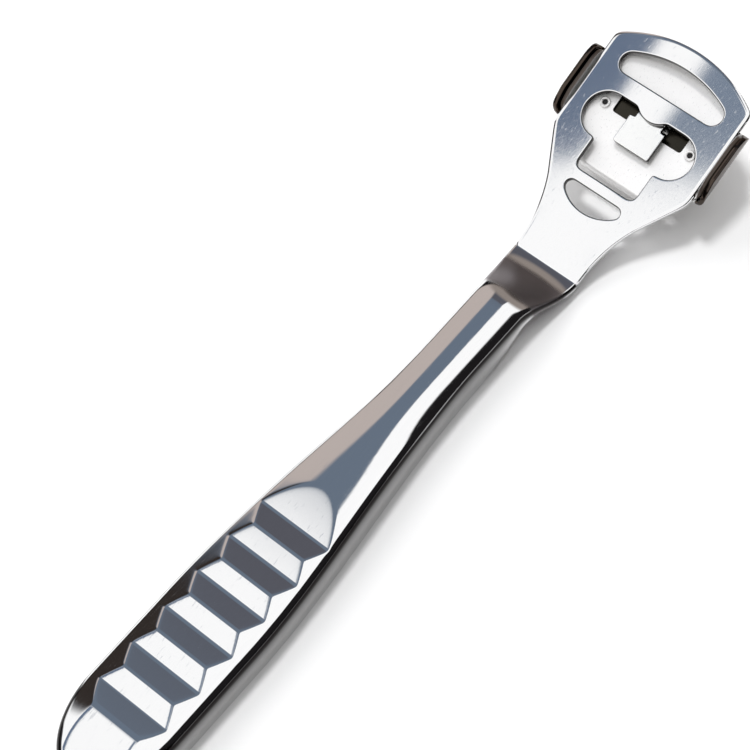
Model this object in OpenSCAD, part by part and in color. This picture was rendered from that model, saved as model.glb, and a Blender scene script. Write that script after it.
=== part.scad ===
// Callus shaver: a pressed steel handle and head plate that clamps an arched
// holder, a thin blade and a sole. +Y runs to the head, +Z is up, X is across.
// Lengths are in millimetres. The origin is under the middle of the whole part.

/* [Head plate] */
// width of the head plate over its straight sides
head_w = 31; // [28:0.5:36]
// length of the head from the bend to the front edge, along the plate
head_len = 48; // [46:1:56]
// angle at which the head plate rises from the handle
head_rise = 18.3; // [8:0.5:26]
// thickness of the pressed sheet
sheet = 1.1; // [0.9:0.1:1.4]
// width of the rear slot of the key-shaped window
slot_w = 13.6; // [11:0.2:15]
// width of the key-shaped window over its two lobes
lobe_span = 24; // [20:0.5:25]
// radius of each lobe of the key-shaped window
lobe_r = 4.55; // [3.8:0.05:5]

/* [Handle] */
// length of the handle from the bend to its rear end
handle_len = 127.8; // [110:1:150]
// width of the grip at its widest
grip_w = 20.8; // [18:0.5:24]
// width of the handle at its narrowest, near the neck
neck_w = 10.9; // [10:0.5:13]
// width of the sheet at the bend
bend_w = 14.4; // [13:0.2:15]
// height of the handle from its rims to its crown
handle_h = 9; // [7.5:0.5:12]
// height of the upper face at the bend
bend_h = 3; // [2.4:0.2:4]
// length of the rounded rear end
end_len = 16.2; // [12:0.5:20]
// radius of the shoulders between the crown and the walls
shoulder_r = 2; // [1.6:0.1:2.6]
// radius of the crown across the neck
neck_crown_r = 9.6; // [8:0.2:16]
// radius of the crown across the grip
grip_crown_r = 28; // [24:1:50]

/* [Ribs] */
// number of grooves across the grip
rib_count = 6; // [3:1:6]
// distance from one groove to the next
rib_pitch = 8.43; // [7:0.1:8.6]
// depth of each groove under the crests beside it
rib_depth = 0.55; // [0.3:0.05:0.9]
// depth of the crests under the crown
rib_sink = 0.6; // [0.3:0.05:0.9]
// distance from the bend to the first groove
rib_from = 69.4; // [66:0.5:72]

/* [Blade stack] */
// radius of the shallow arch of the holder's upper face
arch_r = 100; // [75:1:150]
// free space between the head's sides and the holder's upright ends
end_gap = 0.1; // [0.1:0.05:0.4]
// length of the sole along the head
sole_len = 15.2; // [14:0.2:17]
// height of the sole's ends over the head plate
lip_h = 1; // [0:0.1:2]
// thickness of the holder
holder_t = 0.8; // [0.6:0.1:0.8]
// thickness of the blade
blade_t = 0.3; // [0.2:0.05:0.3]
// thickness of the sole
sole_t = 0.9; // [0.7:0.1:0.9]
// width of the square hook that stands in the window
hook_w = 8; // [6:0.2:8.4]
// how far the holder's rear tab reaches under the plate at each side of the slot
tab_lap = 1.8; // [1:0.1:2.6]

/* [Hidden] */
$fn = 96;
front_reach = head_len * cos(head_rise) + sheet * sin(head_rise);
bend_y = (handle_len - front_reach) / 2;
// head plate: every length along the head is measured from the bend
nose_r = 28;
nose_c = head_len - nose_r;
nose_fillet = 2;
flank_r = 29.6;
flank_c = 1;
flank_x = bend_w / 2 + flank_r;
flank_end = 14.2;
flank_half = flank_x - sqrt(flank_r * flank_r - pow(flank_end - flank_c, 2));
// points of the head's rounded hips: how far in from the side, how far along
hips = [[0, 24.2], [0.25, 23], [0.9, 21.7]];
lap = 0.8;
lap_in = 1.8;
lens_band = 4.1;
lens_rear = 10.6;
lens_end_r = 2.2;
lobe_t = 29.05;
slot_rear = 18.1;
slot_fillet = 1.3;
bump_r = 4.35;
bump_c = 36.45;
bowl_r = 8.8;
bowl_c = 20.4;
bowl_flat = 15.9;
bowl_end_r = 1.2;
// stack: heights are measured from the upper face of the head plate
stack_t = 32.2;
stack_thick = holder_t + blade_t + sole_t;
touch = sheet + 0.02;
end_r = 1.2;
end_x = head_w / 2 - end_r + end_gap;
end_z = sqrt(end_r * end_r - pow(end_r - end_gap, 2)) - touch;
sole_w = head_w + 2 * (end_gap + stack_thick);
arch_a = asin(end_x / (arch_r - end_r));
arch_c = end_z + (arch_r - end_r) * cos(arch_a);
stack_depth = arch_r - arch_c;
stack_reach = 32;
stack_low = -12;
// corners of the plates: how far they are cut across and along the head
front_cut = [2.2, 2.9];
rear_cut = [2.4, 4.4];
blade_in = 1.6;
blade_short = 3.4;
holder_in = 0.8;
holder_short = 0.6;
lip_step = 0.6;
flap_w = 26.4;
flap_t = 45.2;
flap_cut = 2.6;
tab_w = slot_w + 2 * tab_lap;
tab_t = 19.3;
tab_cut = 1.4;
tab_lip = 0.9;
hole_w = 15.6;
hole_front = 34.8;
hole_rear = 30.8;
hook_t = 1;
hook_top = sheet + 0.05;
hook_rear = 26;
hook_front = 33.9;
hook_shoulder = 31.8;
hook_neck_w = hook_w - 2.2;
hook_sink = 0.5;
hook_play = 0.4;
mouth_w = 26;
mouth_len = 2.2;
mouth_in = 2.6;
eye_x = 9.8;
eye_t = 31.3;
eye_r = 1.05;
eye_hole_r = 0.55;
eye_h = 0.5;
eye_sink = 0.4;
// handle: q is the distance behind the bend
ramp_len = 14;
wall_len = 28;
wall_from = sheet + 0.18;
bend_dip = 0.12;
taper_from = 26;
taper_to = 92;
crown_from = 30;
crown_to = 64;
first_run = 8.4;
rear_fall = 0.1;
front_narrow = 0.3;
front_t = 0.8;
front_dip = 0.2;
front_skin = 0.6;
end_q = handle_len - end_len;
end_steps = 8;
levels = 16;
arc_steps = 3;
tip = arc_steps + 1;
crown_marks = [0.9, 0.72, 0.45, 0];
rib_marks = [0, 0.25, 0.5, 0.75];

function ease(u) = let(c = max(0, min(1, u))) c * c * (3 - 2 * c);
// in front of the bend, where q is negative, the shell runs on inside the plate
function half_w(q) = neck_w / 2 + (grip_w - neck_w) / 2 * ease((q - taper_from) / (taper_to - taper_from))
    + (bend_w - neck_w) / 2 * (1 - ease(q / ramp_len)) + min(0, q) * front_narrow;
function top_z(q) = q < 0 ? bend_h - q * tan(head_rise) - front_dip
    : bend_h - bend_dip + (handle_h - bend_h + bend_dip) * ease(q / ramp_len);
// the walls deepen from the bend until their rims reach the resting plane
function rim_z(q) = q < 0 ? top_z(q) - front_t
    : top_z(q) - wall_from - (handle_h - wall_from) * ease(q / wall_len);
function skin_at(q, skin) = q < 0 ? min(skin, front_skin) : skin;
function shoulder(q) = min(shoulder_r, (top_z(q) - rim_z(q)) * 0.45);
// how sharply the crown curves: nothing at the bend, more at the neck, less at the grip
function crown_bend(q) = ease(q / ramp_len)
    / (neck_crown_r + (grip_crown_r - neck_crown_r) * pow(ease((q - crown_from) / (crown_to - crown_from)), 2));
// slope where the crown runs into the shoulder
function lean(q) = let(k = crown_bend(q), r = shoulder(q)) asin((half_w(q) - r) * k / (1 - r * k));
// fall of an arc of curvature k at a distance x from its top
function fall(k, x) = k * x * x / (1 + sqrt(max(0, 1 - k * k * x * x)));
// depth under the crown's top of the sharp valleys and crests of the grooves
function groove(q) = let(u = (q - rib_from) / rib_pitch)
    u < 0 ? (rib_sink + rib_depth) * (1 + u * rib_pitch / first_run)
    : u > rib_count - 0.5 ? rib_sink + (u - rib_count + 0.5) * rib_pitch * rear_fall
    : rib_sink + rib_depth * abs(1 - 2 * (u - floor(u)));

// stations from the rear end forward
q_lead = [54, 46, 38, 30, 24, 19, 15.5, 13, 11, 9.5, 8, 6.5, 5, 3.5, 2, 1, 0, -1.6];
q_ribs = [for (k = [rib_count - 1 : -1 : 0], m = [3 : -1 : 0]) rib_from + rib_pitch * (k + rib_marks[m])];
q_list = concat(
    [for (q = q_ribs) if (q < end_q - 0.4) q],
    [for (m = [0.33, 0.66, 1]) rib_from - first_run * m],
    q_lead);
rows = end_steps + len(q_list);

// a point of the outer (depth = 0) or inner (depth = sheet) surface: level j
// runs from the rim up the wall, round the shoulder and over the crown
function shell_point(q, sn, cs, j, side, depth) =
    let(skin = skin_at(q, depth), w = half_w(q), r0 = shoulder(q), a0 = lean(q), k = crown_bend(q))
    let(r = skin == 0 ? r0 : max(r0 - skin, 0.2))
    let(top_edge = arc_steps + 1)
    let(a = j >= top_edge ? a0 : 90 - (90 - a0) * max(0, j - 1) / arc_steps)
    let(xs = w - r0 + r * sin(a))
    let(f = j <= top_edge ? 1 : crown_marks[j - top_edge - 1])
    let(reach = end_len - w + xs)
    let(away = j < top_edge ? 1 : sqrt(pow(f * sn, 2) + cs * cs))
    let(zj = top_z(q) - fall(k, w - r0 + r0 * sin(a0)) - r0 * cos(a0))
    let(zs = j < top_edge ? zj + r * cos(a) : top_z(q) - skin - fall(k / (1 - skin * k), xs * away))
    let(qq = q + reach * cs)
    let(z = j == 0 ? rim_z(q) : min(zs, top_z(q) - groove(qq) - skin))
    [side * xs * f * sn, bend_y - qq, z];

function row_points(q, sn, cs, skin) =
    [for (j = [0 : levels]) shell_point(q, sn, cs, min(j, levels - j), j > levels / 2 ? -1 : 1, skin)];
function skin_points(skin) = concat(
    [for (j = [0 : tip]) shell_point(end_q, 0, 1, j, 1, skin)],
    [for (i = [1 : end_steps], a = [90 * i / end_steps], p = row_points(end_q, sin(a), cos(a), skin)) p],
    [for (q = q_list, p = row_points(q, 1, 0, skin)) p]);
function at(i, j, base) = base + (i == 0 ? min(j, levels - j, tip) : tip + 1 + (i - 1) * (levels + 1) + j);
function whole(t) = t[0] != t[1] && t[1] != t[2] && t[2] != t[0];

// the thick pressed trough, open underneath and closed at its rear
module trough() {
    outer = skin_points(0);
    inner = skin_points(sheet);
    nb = len(outer);
    skins = [for (i = [0 : rows - 1], j = [0 : levels - 1])
        let(a = at(i, j, 0), b = at(i, j + 1, 0), c = at(i + 1, j + 1, 0), d = at(i + 1, j, 0))
        each [[a, b, c], [a, c, d], [nb + c, nb + b, nb + a], [nb + d, nb + c, nb + a]]];
    rims = [for (i = [0 : rows - 1], e = [0, 1])
        let(j = e * levels, a = at(e == 0 ? i : i + 1, j, 0), b = at(e == 0 ? i + 1 : i, j, 0))
        each [[a, b, nb + b], [a, nb + b, nb + a]]];
    front = [for (j = [0 : levels - 1])
        let(a = at(rows, j, 0), b = at(rows, j + 1, 0))
        each [[a, b, nb + b], [a, nb + b, nb + a]]];
    polyhedron(concat(outer, inner), [for (t = concat(skins, rims, front)) if (whole(t)) t]);
}

// moves a shape from the head's own frame to its place on the handle
module on_head() {
    translate([0, bend_y, bend_h])
        rotate([head_rise, 0, 0])
            children();
}

// a window with one straight edge, one arched edge and rounded ends: the end
// arcs run from the straight edge to where they touch the arched edge
module bow(arc_r, arc_c, flat_t, end_r) {
    out = flat_t > arc_c ? 1 : -1;
    ct = flat_t + out * end_r;
    cx = sqrt(pow(arc_r - end_r, 2) - pow(ct - arc_c, 2));
    lean = atan2(out * (ct - arc_c), cx);
    ends = 10;
    top = 24;
    polygon(concat(
        [for (k = [0 : ends]) let(a = -90 + (90 + lean) * k / ends)
            [cx + end_r * cos(a), ct + out * end_r * sin(a)]],
        [for (k = [1 : top - 1]) let(a = lean + (180 - 2 * lean) * k / top)
            [arc_r * cos(a), arc_c + out * arc_r * sin(a)]],
        [for (k = [0 : ends]) let(a = 180 - lean + (90 + lean) * k / ends)
            [end_r * cos(a) - cx, ct + out * end_r * sin(a)]]));
}

// one side of the head from its front corner back to the lap under the handle
function side_points(ft, side) = [
    for (p = concat([[head_w / 2, ft]], [for (h = hips) [head_w / 2 - h[0], h[1]]],
        [[flank_half, flank_end], [flank_half, 3], [bend_w / 2 + 0.5, 1.7], [bend_w / 2 - lap_in, -lap]]))
    [side * p[0], p[1]]];

module head_outline() {
    fx = head_w / 2 - nose_fillet;
    ft = nose_c + sqrt(pow(nose_r - nose_fillet, 2) - fx * fx);
    difference() {
        union() {
            polygon(concat(side_points(ft, 1), [for (k = [len(hips) + 4 : -1 : 0]) side_points(ft, -1)[k]]));
            intersection() {
                translate([0, nose_c])
                    circle(nose_r);
                polygon([[0, nose_c], [2 * fx, 2 * ft - nose_c], [-2 * fx, 2 * ft - nose_c]]);
            }
            for (side = [-1, 1])
                translate([side * fx, ft])
                    circle(nose_fillet);
        }
        for (side = [-1, 1])
            translate([side * flank_x, flank_c])
                circle(flank_r);
    }
}

// the key-shaped window: two lobes in front, a narrow slot behind
module key_window() {
    difference() {
        union() {
            for (side = [-1, 1]) {
                translate([side * (lobe_span / 2 - lobe_r), lobe_t])
                    circle(lobe_r);
                translate([side * (slot_w / 2 - slot_fillet), slot_rear + slot_fillet])
                    circle(slot_fillet);
            }
            translate([lobe_r - lobe_span / 2, lobe_t - lobe_r])
                square([lobe_span - 2 * lobe_r, 2 * lobe_r]);
            translate([-slot_w / 2, slot_rear + slot_fillet])
                square([slot_w, lobe_t - slot_rear - slot_fillet]);
            translate([slot_fillet - slot_w / 2, slot_rear])
                square([slot_w - 2 * slot_fillet, slot_fillet + 1]);
        }
        translate([0, bump_c])
            circle(bump_r);
    }
}

module head_plate() {
    translate([0, 0, -sheet])
        linear_extrude(sheet)
            difference() {
                head_outline();
                bow(nose_r - lens_band, nose_c, head_len - lens_rear, lens_end_r);
                key_window();
                bow(bowl_r, bowl_c, bowl_flat, bowl_end_r);
            }
}

module body() {
    color("silver") {
        trough();
        on_head()
            head_plate();
    }
}

// one layer of the stack, from skin in to skin out under the holder's upper
// face: a shallow arch, tight curves at both sides and upright lips
module layer(in, out, lip) {
    translate([0, stack_t, 0])
        rotate([90, 0, 0])
            linear_extrude(stack_reach, center = true) {
                intersection() {
                    translate([0, arch_c])
                        ring(arch_r + in, arch_r + out);
                    polygon([[0, arch_c], 2 * [end_x, end_z] - [0, arch_c], 2 * [-end_x, end_z] - [0, arch_c]]);
                }
                for (side = [0, 1])
                    mirror([side, 0]) {
                        intersection() {
                            translate([end_x, end_z])
                                ring(end_r + in, end_r + out);
                            translate([end_x, end_z])
                                polygon(end_r * [[0, 0], [6, 0], [6, -6], [6 * tan(arch_a - 1), -6]]);
                        }
                        if (lip > end_z)
                            translate([end_x + end_r + in, end_z - 0.01])
                                square([out - in, lip - end_z + 0.01]);
                    }
            }
}

module ring(inner_r, outer_r) {
    difference() {
        circle(outer_r);
        circle(inner_r);
    }
}

// a plate's plan with cut corners
module plan(w, l) {
    h = w / 2;
    f = stack_t + l / 2;
    r = stack_t - l / 2;
    right = [[h - front_cut[0], f], [h - 0.3 * front_cut[0], f - 0.35 * front_cut[1]], [h, f - front_cut[1]],
        [h, r + rear_cut[1]], [h - 0.25 * rear_cut[0], r + 0.45 * rear_cut[1]], [h - rear_cut[0], r]];
    polygon(concat(right, [for (k = [len(right) - 1 : -1 : 0]) [-right[k][0], right[k][1]]]));
}

// keeps a stack plate inside a plan outline, and slopes its lips down towards
// the front and the rear
module trimmed(w, l, lip) {
    f = stack_t + l / 2;
    r = stack_t - l / 2;
    intersection() {
        children(0);
        translate([0, 0, stack_low])
            linear_extrude(-2 * stack_low)
                union() {
                    plan(w, l);
                    if ($children > 1)
                        children(1);
                }
        rotate([90, 0, 90])
            linear_extrude(2 * w, center = true)
                polygon([[flap_t, stack_low], [flap_t, end_z], [f + 0.2, end_z], [f - 1.8, lip], [r + 4.2, lip],
                    [r - 0.6, end_z], [tab_t, end_z], [tab_t, stack_low]]);
    }
}

module block(half, rear, front) {
    translate([-half, rear, stack_low])
        cube([2 * half, front - rear, -stack_low]);
}

module holder() {
    eye_z = arch_c - sqrt(arch_r * arch_r - eye_x * eye_x);
    color("gainsboro")
        on_head() {
            difference() {
                trimmed(sole_w - 2 * holder_in, sole_len - holder_short, lip_h - lip_step) {
                    layer(0, holder_t, lip_h - lip_step);
                    union() {
                        tab(flap_w / 2, flap_t, flap_cut);
                        tab(tab_w / 2, tab_t, -tab_cut);
                    }
                }
                block(hole_w / 2, hole_rear, hole_front);
            }
            intersection() {
                layer(holder_t / 2, holder_t + tab_lip, end_z);
                block(tab_w / 2 - tab_cut, tab_t, tab_t + tab_lip);
            }
            for (side = [-1, 1])
                translate([side * eye_x, eye_t, eye_z - eye_sink])
                    difference() {
                        cylinder(h = eye_sink + eye_h, r = eye_r);
                        translate([0, 0, eye_sink + 0.1])
                            cylinder(h = eye_h, r = eye_hole_r);
                    }
        }
}

// plan of a tab that runs from the middle of the stack to t, with cut corners
module tab(half, t, cut) {
    c = abs(cut);
    polygon([[half, stack_t], [half, t - cut], [half - c, t],
        [c - half, t], [-half, t - cut], [-half, stack_t]]);
}

module blade() {
    color("lightsteelblue")
        on_head()
            difference() {
                trimmed(sole_w - 2 * blade_in, sole_len - blade_short, end_z)
                    layer(holder_t, holder_t + blade_t, end_z);
                block(hook_neck_w / 2 + hook_play, hook_front - hook_t - 2 * hook_play, hook_front + hook_play);
            }
}

module sole() {
    web_rear = hook_front - hook_t;
    web_low = -stack_depth - holder_t - blade_t - hook_sink;
    mouth_rear = stack_t - sole_len / 2 + mouth_in;
    color("silver")
        on_head() {
            difference() {
                trimmed(sole_w, sole_len, lip_h)
                    layer(holder_t + blade_t, stack_thick, lip_h);
                block(mouth_w / 2, mouth_rear, mouth_rear + mouth_len);
            }
            translate([-hook_neck_w / 2, web_rear, web_low])
                cube([hook_neck_w, hook_t, -hook_top - web_low]);
            translate([-hook_neck_w / 2, hook_shoulder - 1, -hook_top - hook_t])
                cube([hook_neck_w, hook_front - hook_shoulder + 1, hook_t]);
            translate([-hook_w / 2, hook_rear, -hook_top - hook_t])
                cube([hook_w, hook_shoulder - hook_rear, hook_t]);
        }
}

body();
holder();
blade();
sole();
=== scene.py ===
"""Callus shaver: a pressed steel handle and head, with the holder, blade and sole that it clamps."""

import functools
import math

import bpy
import numpy as np
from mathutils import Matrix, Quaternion, Vector
from mathutils.geometry import delaunay_2d_cdt


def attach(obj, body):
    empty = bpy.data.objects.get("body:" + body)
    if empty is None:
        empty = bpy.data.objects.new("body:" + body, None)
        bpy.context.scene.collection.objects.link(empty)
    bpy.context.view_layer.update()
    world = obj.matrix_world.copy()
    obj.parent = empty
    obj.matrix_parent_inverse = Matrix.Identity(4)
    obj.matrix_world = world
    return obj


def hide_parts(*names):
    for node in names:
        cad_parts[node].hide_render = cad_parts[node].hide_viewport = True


bl_info = {
    "name": "Callus shaver",
    "version": (1, 0, 0),
    "blender": (4, 5, 0),
    "location": "3D View > Sidebar > Callus shaver",
    "description": "Builds a callus shaver in polished steel over its CAD solids",
    "category": "Add Mesh",
}

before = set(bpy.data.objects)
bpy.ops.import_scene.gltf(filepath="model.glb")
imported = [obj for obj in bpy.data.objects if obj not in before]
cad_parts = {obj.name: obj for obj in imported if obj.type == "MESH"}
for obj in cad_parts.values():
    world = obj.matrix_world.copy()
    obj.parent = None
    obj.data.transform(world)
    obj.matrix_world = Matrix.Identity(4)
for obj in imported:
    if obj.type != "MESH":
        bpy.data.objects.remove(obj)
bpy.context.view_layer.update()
MM = 0.001


def length(name, value, description):
    """A length property. The value is given in millimetres and kept in metres."""
    return bpy.props.FloatProperty(
        name=name, description=description, default=value * MM, unit="LENGTH", precision=5
    )


def angle(name, value, description):
    """An angle property. The value is given in degrees and kept in radians."""
    return bpy.props.FloatProperty(
        name=name, description=description, default=math.radians(value), subtype="ANGLE"
    )


def colour(name, value, description):
    """A colour property."""
    return bpy.props.FloatVectorProperty(
        name=name, description=description, default=value, size=3, min=0.0, max=1.0, subtype="COLOR"
    )


def share(name, value, description):
    """A plain number from 0 to 1."""
    return bpy.props.FloatProperty(name=name, description=description, default=value, min=0.0, max=1.0)


class ShaverHead(bpy.types.PropertyGroup):
    """Sizes of the head plate, along the plate from the bend."""

    width: length("Width", 31, "Width over the straight sides")
    reach: length("Length", 48, "From the bend to the front edge, along the plate")
    rise: angle("Rise", 18.3, "Angle at which the plate rises from the handle")
    sheet: length("Sheet", 1.1, "Thickness of the pressed sheet")
    slot: length("Slot width", 13.6, "Width of the rear slot of the key-shaped window")
    lobe_span: length("Lobe span", 24, "Width of the key-shaped window over its lobes")
    lobe_radius: length("Lobe radius", 4.55, "Radius of each lobe")
    roll: length("Edge roll", 0.75, "Width of the rounded edge that pressing leaves")
    bow: length("Bow radius", 260, "Radius of the slight arch across the plate")


class ShaverHandle(bpy.types.PropertyGroup):
    """Sizes of the hollow-backed handle."""

    reach: length("Length", 127.8, "From the bend to the rear end")
    grip: length("Grip width", 20.8, "Widest width")
    neck: length("Neck width", 10.9, "Narrowest width")
    bend: length("Bend width", 14.4, "Width of the sheet at the bend")
    height: length("Height", 9, "From the rims to the crown")
    bend_height: length("Bend height", 3, "Height of the upper face at the bend")
    end: length("End length", 16.2, "Length of the rounded rear end")
    shoulder: length("Shoulder radius", 2, "Radius between the crown and the walls")
    neck_crown: length("Neck crown radius", 9.6, "Radius of the crown across the neck")
    grip_crown: length("Grip crown radius", 28, "Radius of the crown across the grip")
    ribs: bpy.props.IntProperty(
        name="Ribs", description="Number of grooves across the grip", default=6, min=3, max=6
    )
    pitch: length("Rib pitch", 8.43, "Distance between grooves")
    first: length("First groove", 69.4, "From the bend to the first groove")
    depth: length("Groove depth", 0.55, "Depth of a groove under the crests beside it")
    sink: length("Crest depth", 0.6, "Depth of the crests under the crown")


class ShaverStack(bpy.types.PropertyGroup):
    """Sizes of the holder, blade and sole under the head."""

    arch: length("Arch radius", 100, "Radius of the holder's upper face")
    reach: length("Sole length", 15.2, "Length of the sole along the head")
    lip: length("Lip height", 1, "Height of the sole's ends over the head plate")
    lip_gap: length("Lip gap", 0.1, "Free space between the head's sides and the holder's lips")
    holder: length("Holder thickness", 0.8, "Thickness of the holder")
    blade: length("Blade thickness", 0.3, "Thickness of the blade")
    sole: length("Sole thickness", 0.9, "Thickness of the sole")
    hook: length("Hook width", 8, "Width of the square hook in the window")
    tab_lap: length("Tab lap", 1.8, "How far the holder's rear tab reaches under the plate beside the slot")


class ShaverFinish(bpy.types.PropertyGroup):
    """Colours and roughness of the steel."""

    body: colour("Handle and head", (0.88, 0.88, 0.885), "Colour of the polished sheet")
    holder: colour("Holder", (0.98, 0.97, 0.96), "Colour of the satin holder")
    # The blade's dark colour is partly its hardened steel and partly painted shade, for the dark gap seen
    # through the holder's cross hole.
    blade: colour("Blade", (0.05, 0.045, 0.035), "Colour of the dark hardened blade")
    sole: colour("Sole", (0.95, 0.95, 0.94), "Colour of the polished sole")
    gloss: share("Body roughness", 0.07, "Roughness of the polished sheet")
    satin: share("Satin roughness", 0.3, "Roughness of the satin faces")


class ShaverStage(bpy.types.PropertyGroup):
    """Floor, light and camera."""

    floor: colour("Floor", (0.9, 0.9, 0.9), "Colour of the floor")
    eye: bpy.props.FloatVectorProperty(
        name="Camera",
        description="Place of the camera",
        default=(0.178533, -0.148411, 0.452116),
        size=3,
        subtype="TRANSLATION",
        unit="LENGTH",
    )
    aim: bpy.props.FloatVectorProperty(
        name="Aim",
        description="Point at the middle of the picture",
        default=(-0.009218, 0.003683, 0.005),
        size=3,
        subtype="TRANSLATION",
        unit="LENGTH",
    )
    roll: angle("Roll", -12.008, "Turn of the camera about its own axis")
    lens: bpy.props.FloatProperty(
        name="Lens", description="Focal length in millimetres", default=135.749, unit="CAMERA"
    )


def in_millimetres(form, group, *names):
    """Gives a form the named lengths of a property group, in millimetres."""
    for name in names:
        setattr(form, name, getattr(group, name) / MM)


def ease(u):
    """A smooth step from 0 to 1: three times the square less twice the cube, held at both ends."""
    c = np.clip(u, 0.0, 1.0)
    return c * c * (3.0 - 2.0 * c)


def soft_min(a, b, k):
    """The lower of two heights, with their meeting rounded over about k."""
    return (a + b - np.sqrt((a - b) ** 2 + k * k)) / 2.0


def fall(k, x):
    """Fall of an arc of curvature k at a distance x from its top."""
    return k * x * x / (1.0 + np.sqrt(np.maximum(0.0, 1.0 - (k * x) ** 2)))


def grid_faces(rows, cols, start=0):
    """Quads of a grid of rows by cols points, numbered along each row from start."""
    i, j = np.meshgrid(np.arange(rows - 1), np.arange(cols - 1), indexing="ij")
    a = (i * cols + j + start).ravel()
    return np.stack([a, a + 1, a + cols + 1, a + cols], 1)


def strip_faces(lower, upper):
    """Quads between two rows of the same count of point numbers."""
    return np.stack([lower[:-1], lower[1:], upper[1:], upper[:-1]], 1)


def ring_faces(lower, upper):
    """Quads between two closed loops of the same count of point numbers."""
    return np.stack([lower, np.roll(lower, -1), np.roll(upper, -1), upper], 1)


def mesh_piece(name, parts, material, node, sharp=30.0):
    """One object from several shells, each of points in millimetres, faces and a darkness for every point.

    It replaces a CAD node. The darkness, from 0 to 1, is painted shade on cut edges and painted reflection on
    the handle, for the material.
    """
    points, faces, darks, base = [], [], [], 0
    for shell_points, shell_faces, dark in parts:
        points.append(np.asarray(shell_points, float) * MM)
        darks.append(np.broadcast_to(dark, len(shell_points)))
        faces.extend((np.asarray(f) + base).tolist() for f in shell_faces)
        base += len(shell_points)
    mesh = bpy.data.meshes.new(name)
    quads = [[v for k, v in enumerate(f) if v != f[k - 1]] for group in faces for f in group]
    mesh.from_pydata(np.concatenate(points).tolist(), [], [f for f in quads if len(f) > 2])
    stored = mesh.attributes.new("dark", "FLOAT", "POINT")
    stored.data.foreach_set("value", np.concatenate(darks).astype(np.float32))
    mesh.validate()
    mesh.polygons.foreach_set("use_smooth", np.ones(len(mesh.polygons), bool))
    mesh.set_sharp_from_angle(angle=math.radians(sharp))
    mesh.materials.append(material)
    piece = bpy.data.objects.new(name, mesh)
    bpy.context.scene.collection.objects.link(piece)
    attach(piece, "root")
    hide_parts(node)
    return piece


# Handle. q is the distance behind the bend, in millimetres.


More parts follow.
